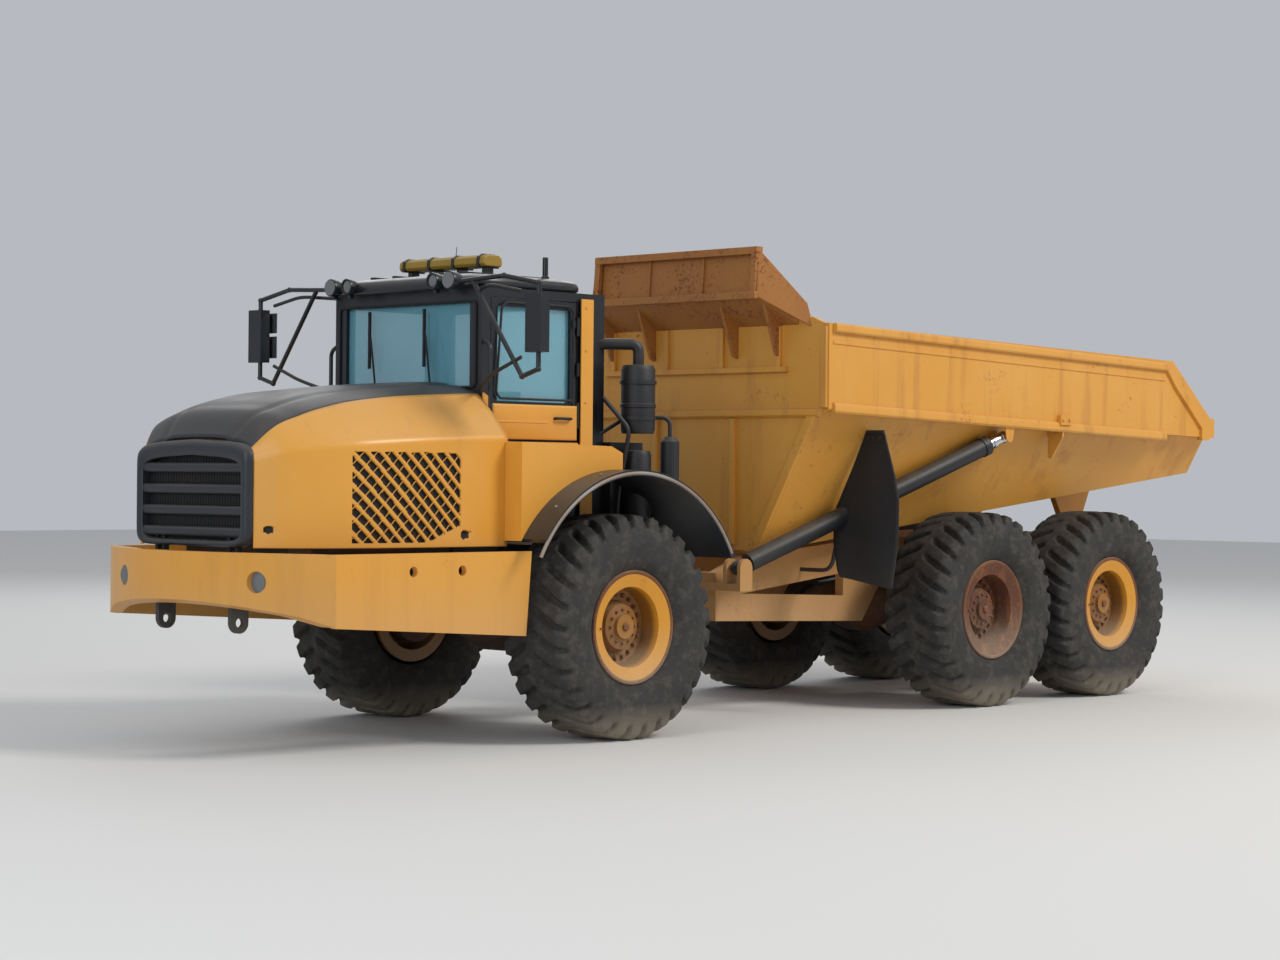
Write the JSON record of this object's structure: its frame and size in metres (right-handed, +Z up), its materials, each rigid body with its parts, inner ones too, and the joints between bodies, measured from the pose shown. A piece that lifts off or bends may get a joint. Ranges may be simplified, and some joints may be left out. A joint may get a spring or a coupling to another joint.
{
  "type": "articulated dump truck",
  "caption": "Articulated off-road haul truck with a steered front unit, oscillating hitch, tandem rear bogie and a tipping open bed raised by twin side cylinders.",
  "frame": {"origin": "on the ground under the middle of the truck's overall box", "axes": "+X towards the front bumper, +Y to the truck's left, +Z up"},
  "size_m": [11.18, 3.4, 3.9198],
  "materials": {
    "frame_paint": "satin, worn",
    "body_paint": "gloss, worn and rust-stained",
    "cab_paint": "satin",
    "wheel_paint": "worn",
    "cast_axle": "painted, dusty",
    "engine_block": "rough",
    "rod_chrome": "polished",
    "tyre_rubber": "matt, dusty",
    "flap_rubber": "matt",
    "window_glass": "clear tinted",
    "interior_plastic": "textured",
    "lamp_lens": "clear",
    "beacon_plastic": "dull"
  },
  "bodies": {
    "rear": {"rear_frame": "body_paint", "bogie_beams": "frame_paint", "bogie_axles": "cast_axle", "mud_flaps": "flap_rubber"},
    "hitch": {"hitch": "frame_paint"},
    "front": {"front_frame": "frame_paint", "powertrain": "engine_block", "front_axle": "cast_axle", "bumper": "body_paint", "side_skirts": "body_paint", "fenders": "frame_paint", "decks": "body_paint", "cab_shell": "cab_paint", "cab_roof": "cab_paint", "cab_glass": "window_glass", "cab_interior": "interior_plastic", "mirrors": "frame_paint", "lamps": "lamp_lens", "beacon_bar": "beacon_plastic", "intake_stack": "frame_paint", "tanks": "frame_paint"},
    "hood": {"hood_shell": "body_paint", "hood_top": "cab_paint", "grille": "frame_paint"},
    "door": {"cab_door": "cab_paint", "door_glass": "window_glass"},
    "bed": {"bed_floor": "body_paint", "bed_sides": "body_paint", "bed_headboard": "body_paint"},
    "steer_barrel_left": {"steer_barrel_left": "frame_paint"},
    "steer_rod_left": {"steer_rod_left": "rod_chrome"},
    "steer_barrel_right": {"steer_barrel_right": "frame_paint"},
    "steer_rod_right": {"steer_rod_right": "rod_chrome"},
    "hoist_barrel_left": {"hoist_barrel_left": "frame_paint"},
    "hoist_rod_left": {"hoist_rod_left": "rod_chrome"},
    "hoist_barrel_right": {"hoist_barrel_right": "frame_paint"},
    "hoist_rod_right": {"hoist_rod_right": "rod_chrome"},
    "wheel_front_left": {"tyre_front_left": "tyre_rubber", "rim_front_left": "wheel_paint"},
    "wheel_front_right": {"tyre_front_right": "tyre_rubber", "rim_front_right": "wheel_paint"},
    "wheel_mid_left": {"tyre_mid_left": "tyre_rubber", "rim_mid_left": "wheel_paint"},
    "wheel_mid_right": {"tyre_mid_right": "tyre_rubber", "rim_mid_right": "wheel_paint"},
    "wheel_rear_left": {"tyre_rear_left": "tyre_rubber", "rim_rear_left": "wheel_paint"},
    "wheel_rear_right": {"tyre_rear_right": "tyre_rubber", "rim_rear_right": "wheel_paint"}
  },
  "joints": [
    {"name": "oscillation", "type": "hinge", "parent": "rear", "child": "hitch", "pos_m": [1.21, 0, 0.9], "axis": [1, 0, 0], "range_deg": [-15, 15]},
    {"name": "steer", "type": "hinge", "parent": "hitch", "child": "front", "pos_m": [1.21, 0, 0.9], "axis": [0, 0, 1], "range_deg": [-45, 45]},
    {"name": "hood_hinge", "type": "hinge", "parent": "front", "child": "hood", "pos_m": [5.395, 0, 1.56], "axis": [0, 1, 0], "range_deg": [0, 90]},
    {"name": "door_hinge", "type": "hinge", "parent": "front", "child": "door", "pos_m": [2.462, 0.866, 2.8], "axis": [0, 0, 1], "range_deg": [0, 90]},
    {"name": "bed_tip", "type": "hinge", "parent": "rear", "child": "bed", "pos_m": [-4.46, 0, 1.52], "axis": [0, -1, 0], "range_deg": [0, 70]},
    {"name": "steer_barrel_left_swing", "type": "hinge", "parent": "front", "child": "steer_barrel_left", "pos_m": [2.14, 0.43, 0.9], "axis": [0, 0, 1], "range_deg": [-2, 2]},
    {"name": "steer_rod_left_slide", "type": "slide", "parent": "steer_barrel_left", "child": "steer_rod_left", "axis": [-0.9947, -0.1025, 0], "range_m": [-0.26, 0.26]},
    {"name": "steer_barrel_right_swing", "type": "hinge", "parent": "front", "child": "steer_barrel_right", "pos_m": [2.14, -0.43, 0.9], "axis": [0, 0, 1], "range_deg": [-2, 2]},
    {"name": "steer_rod_right_slide", "type": "slide", "parent": "steer_barrel_right", "child": "steer_rod_right", "axis": [-0.9947, 0.1025, 0], "range_m": [-0.26, 0.26]},
    {"name": "hoist_barrel_left_swing", "type": "hinge", "parent": "rear", "child": "hoist_barrel_left", "pos_m": [0.53, 0.8, 1.24], "axis": [0.3911, 0.7165, 0.5776], "range_deg": [-0.5, 8.4]},
    {"name": "hoist_rod_left_slide", "type": "slide", "parent": "hoist_barrel_left", "child": "hoist_rod_left", "axis": [-0.9089, 0.202, 0.3649], "range_m": [-0.01, 2.65]},
    {"name": "hoist_barrel_right_swing", "type": "hinge", "parent": "rear", "child": "hoist_barrel_right", "pos_m": [0.53, -0.8, 1.24], "axis": [-0.3911, 0.7165, -0.5776], "range_deg": [-0.5, 8.4]},
    {"name": "hoist_rod_right_slide", "type": "slide", "parent": "hoist_barrel_right", "child": "hoist_rod_right", "axis": [-0.9089, -0.202, 0.3649], "range_m": [-0.01, 2.65]},
    {"name": "wheel_front_left_spin", "type": "hinge", "parent": "front", "child": "wheel_front_left", "pos_m": [2.49, 1.2575, 0.85], "axis": [0, 1, 0], "continuous": true},
    {"name": "wheel_front_right_spin", "type": "hinge", "parent": "front", "child": "wheel_front_right", "pos_m": [2.49, -1.2575, 0.85], "axis": [0, 1, 0], "continuous": true},
    {"name": "wheel_mid_left_spin", "type": "hinge", "parent": "rear", "child": "wheel_mid_left", "pos_m": [-2.01, 1.2575, 0.85], "axis": [0, 1, 0], "continuous": true},
    {"name": "wheel_mid_right_spin", "type": "hinge", "parent": "rear", "child": "wheel_mid_right", "pos_m": [-2.01, -1.2575, 0.85], "axis": [0, 1, 0], "continuous": true},
    {"name": "wheel_rear_left_spin", "type": "hinge", "parent": "rear", "child": "wheel_rear_left", "pos_m": [-3.83, 1.2575, 0.85], "axis": [0, 1, 0], "continuous": true},
    {"name": "wheel_rear_right_spin", "type": "hinge", "parent": "rear", "child": "wheel_rear_right", "pos_m": [-3.83, -1.2575, 0.85], "axis": [0, 1, 0], "continuous": true}
  ],
  "couplings": [
    {"joint": "steer_barrel_left_swing", "follows": "steer", "ratio": 0.01452},
    {"joint": "steer_rod_left_slide", "follows": "steer", "m_per_rad": -0.3115},
    {"joint": "steer_barrel_right_swing", "follows": "steer", "ratio": 0.01452},
    {"joint": "steer_rod_right_slide", "follows": "steer", "m_per_rad": 0.3115},
    {"joint": "hoist_barrel_left_swing", "follows": "bed_tip", "ratio": 0.11249},
    {"joint": "hoist_rod_left_slide", "follows": "bed_tip", "m_per_rad": 2.1605},
    {"joint": "hoist_barrel_right_swing", "follows": "bed_tip", "ratio": 0.11249},
    {"joint": "hoist_rod_right_slide", "follows": "bed_tip", "m_per_rad": 2.1605}
  ]
}
